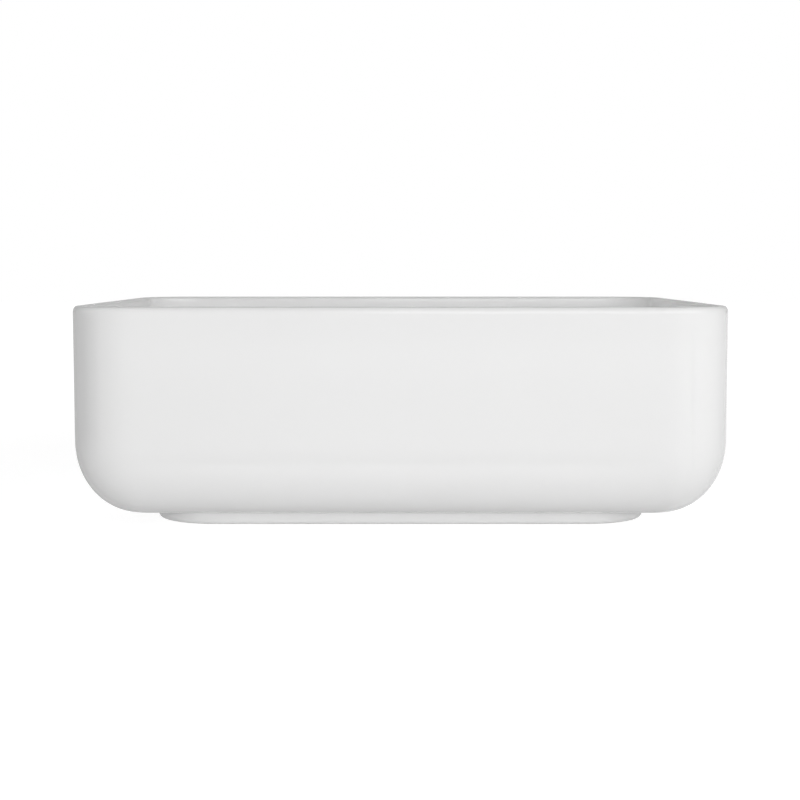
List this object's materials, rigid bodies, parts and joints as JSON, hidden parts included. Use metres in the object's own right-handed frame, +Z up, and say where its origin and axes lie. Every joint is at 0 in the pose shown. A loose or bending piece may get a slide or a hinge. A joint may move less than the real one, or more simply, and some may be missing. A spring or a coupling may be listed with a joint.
{
  "type": "countertop basin",
  "caption": "Rectangular countertop basin in white glazed ceramic, with round corners, a thin rim, a low inset foot and a push-button waste.",
  "frame": {"origin": "centre of the foot, on the counter", "axes": "+X along the basin's width, -Y towards the user, +Z up"},
  "size_m": [0.41, 0.33, 0.14],
  "materials": {
    "glaze": "gloss white glaze",
    "chrome": "polished chrome plate on brass",
    "brass": "machined brass",
    "steel": "drawn spring wire",
    "rubber": "moulded black rubber",
    "white_plastic": "moulded white acetal",
    "grey_plastic": "moulded grey acetal"
  },
  "bodies": {
    "basin": {"basin": "glaze", "flange_gasket": "rubber", "waste_body": "chrome", "base_gasket": "rubber", "slip_washer": "white_plastic", "lock_nut": "brass", "cartridge_housing": "grey_plastic", "cartridge_nut": "grey_plastic", "guide_cap": "white_plastic", "end_plug": "white_plastic", "return_spring": "steel"},
    "plug": {"plug_cap": "chrome", "cap_seal": "rubber", "jam_nut": "brass", "spindle": "brass", "plunger": "grey_plastic"},
    "rotor": {"ratchet_rotor": "white_plastic"}
  },
  "joints": [
    {"name": "plug_slide", "type": "slide", "parent": "basin", "child": "plug", "axis": [0, 0, 1], "range_m": [0, 0.009], "deforming": ["return_spring"]},
    {"name": "rotor_turn", "type": "hinge", "parent": "plug", "child": "rotor", "pos_m": [0, 0, 0.013], "axis": [0, 0, 1], "range_deg": [0, 90]}
  ]
}
